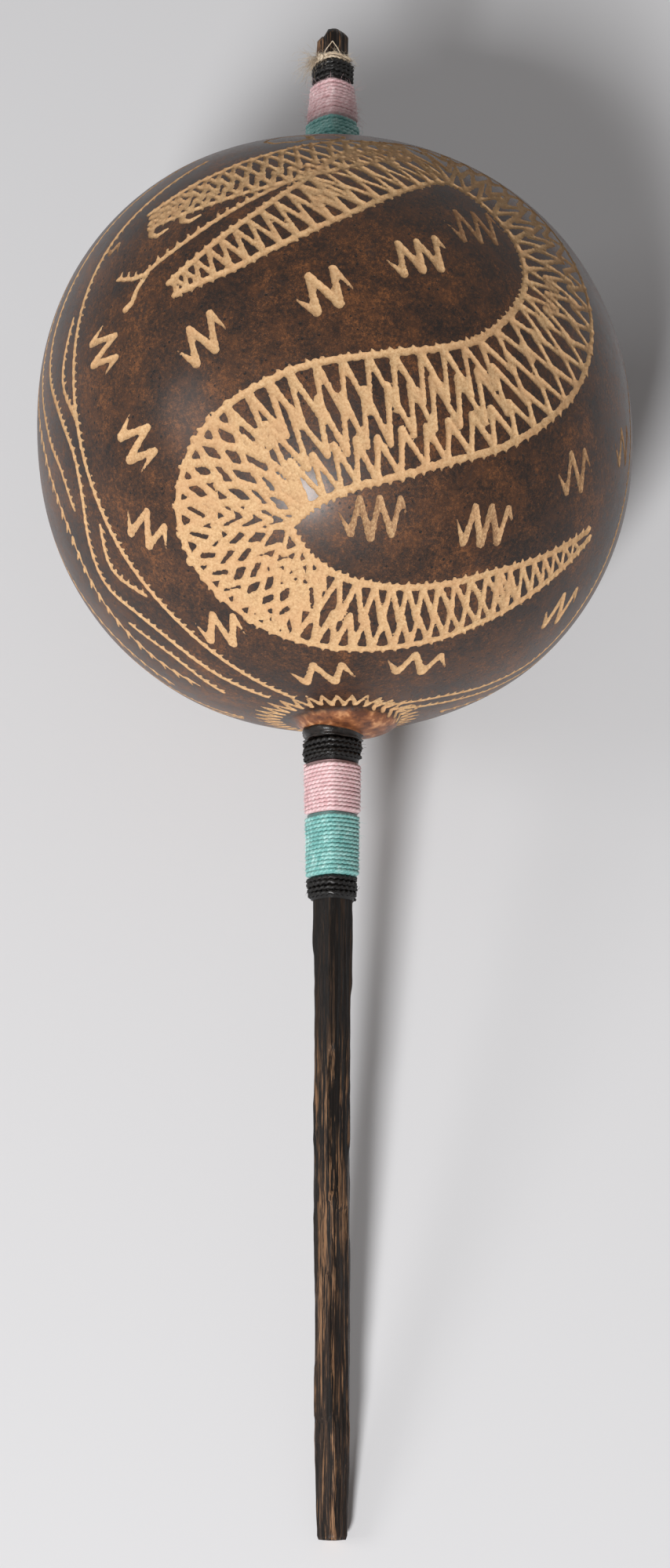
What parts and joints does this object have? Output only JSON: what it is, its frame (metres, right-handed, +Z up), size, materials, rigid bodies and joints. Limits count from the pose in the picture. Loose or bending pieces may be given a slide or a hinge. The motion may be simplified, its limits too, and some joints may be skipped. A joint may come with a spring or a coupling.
{
  "type": "gourd rattle",
  "caption": "Hand rattle: a hollow carved gourd with loose seeds inside, on a squared palm-wood stick that passes through it, bound with cord and yarn above and below.",
  "frame": {"origin": "on the ground under the middle of the bounding box, with the rattle lying on its belly and the end of its handle", "axes": "+Y is the long way, from the end of the handle towards the tip above the gourd; +Z is up; +X is across the gourd"},
  "size_m": [0.16, 0.3928, 0.1613],
  "materials": {
    "gourd_rind": "carved and polished dark brown rind, cream where cut",
    "palm_wood": "whittled black palm wood with tan fibres, satin",
    "pitch": "dark dried resin",
    "black_cord": "waxed twisted black cord",
    "pink_yarn": "silky plied pink yarn",
    "turquoise_yarn": "silky plied turquoise yarn",
    "natural_thread": "undyed fuzzy thread",
    "seed": "hard round dark seed, polished by wear"
  },
  "bodies": {
    "rattle": {"gourd_shell": "gourd_rind", "palm_stick": "palm_wood", "stem_pitch_seal": "pitch", "collar_cord": "black_cord", "lower_pink_yarn": "pink_yarn", "lower_turquoise_yarn": "turquoise_yarn", "lower_end_cord": "black_cord", "upper_turquoise_yarn": "turquoise_yarn", "upper_pink_yarn": "pink_yarn", "upper_end_cord": "black_cord", "tip_tie_thread": "natural_thread"},
    "seed_01": {"loose_seed_01": "seed"},
    "seed_02": {"loose_seed_02": "seed"},
    "seed_03": {"loose_seed_03": "seed"},
    "seed_04": {"loose_seed_04": "seed"},
    "seed_05": {"loose_seed_05": "seed"},
    "seed_06": {"loose_seed_06": "seed"},
    "seed_07": {"loose_seed_07": "seed"},
    "seed_08": {"loose_seed_08": "seed"},
    "seed_09": {"loose_seed_09": "seed"},
    "seed_10": {"loose_seed_10": "seed"},
    "seed_11": {"loose_seed_11": "seed"},
    "seed_12": {"loose_seed_12": "seed"},
    "seed_13": {"loose_seed_13": "seed"},
    "seed_14": {"loose_seed_14": "seed"},
    "seed_15": {"loose_seed_15": "seed"}
  },
  "joints": [
    {"name": "seed_01_roll", "type": "hinge", "parent": "rattle", "child": "seed_01", "pos_m": [0, 0.08104, 0.08073], "axis": [0, 0.963, 0.2694], "continuous": true},
    {"name": "seed_02_roll", "type": "hinge", "parent": "rattle", "child": "seed_02", "pos_m": [0, 0.08104, 0.08073], "axis": [0, 0.963, 0.2694], "continuous": true},
    {"name": "seed_03_roll", "type": "hinge", "parent": "rattle", "child": "seed_03", "pos_m": [0, 0.08104, 0.08073], "axis": [0, 0.963, 0.2694], "continuous": true},
    {"name": "seed_04_roll", "type": "hinge", "parent": "rattle", "child": "seed_04", "pos_m": [0, 0.08104, 0.08073], "axis": [0, 0.963, 0.2694], "continuous": true},
    {"name": "seed_05_roll", "type": "hinge", "parent": "rattle", "child": "seed_05", "pos_m": [0, 0.08104, 0.08073], "axis": [0, 0.963, 0.2694], "continuous": true},
    {"name": "seed_06_roll", "type": "hinge", "parent": "rattle", "child": "seed_06", "pos_m": [0, 0.08104, 0.08073], "axis": [0, 0.963, 0.2694], "continuous": true},
    {"name": "seed_07_roll", "type": "hinge", "parent": "rattle", "child": "seed_07", "pos_m": [0, 0.08104, 0.08073], "axis": [0, 0.963, 0.2694], "continuous": true},
    {"name": "seed_08_roll", "type": "hinge", "parent": "rattle", "child": "seed_08", "pos_m": [0, 0.08104, 0.08073], "axis": [0, 0.963, 0.2694], "continuous": true},
    {"name": "seed_09_roll", "type": "hinge", "parent": "rattle", "child": "seed_09", "pos_m": [0, 0.08104, 0.08073], "axis": [0, 0.963, 0.2694], "continuous": true},
    {"name": "seed_10_roll", "type": "hinge", "parent": "rattle", "child": "seed_10", "pos_m": [0, 0.08104, 0.08073], "axis": [0, 0.963, 0.2694], "continuous": true},
    {"name": "seed_11_roll", "type": "hinge", "parent": "rattle", "child": "seed_11", "pos_m": [0, 0.08104, 0.08073], "axis": [0, 0.963, 0.2694], "continuous": true},
    {"name": "seed_12_roll", "type": "hinge", "parent": "rattle", "child": "seed_12", "pos_m": [0, 0.08104, 0.08073], "axis": [0, 0.963, 0.2694], "continuous": true},
    {"name": "seed_13_roll", "type": "hinge", "parent": "rattle", "child": "seed_13", "pos_m": [0, 0.08104, 0.08073], "axis": [0, 0.963, 0.2694], "continuous": true},
    {"name": "seed_14_roll", "type": "hinge", "parent": "rattle", "child": "seed_14", "pos_m": [0, 0.08104, 0.08073], "axis": [0, 0.963, 0.2694], "continuous": true},
    {"name": "seed_15_roll", "type": "hinge", "parent": "rattle", "child": "seed_15", "pos_m": [0, 0.08104, 0.08073], "axis": [0, 0.963, 0.2694], "continuous": true}
  ]
}
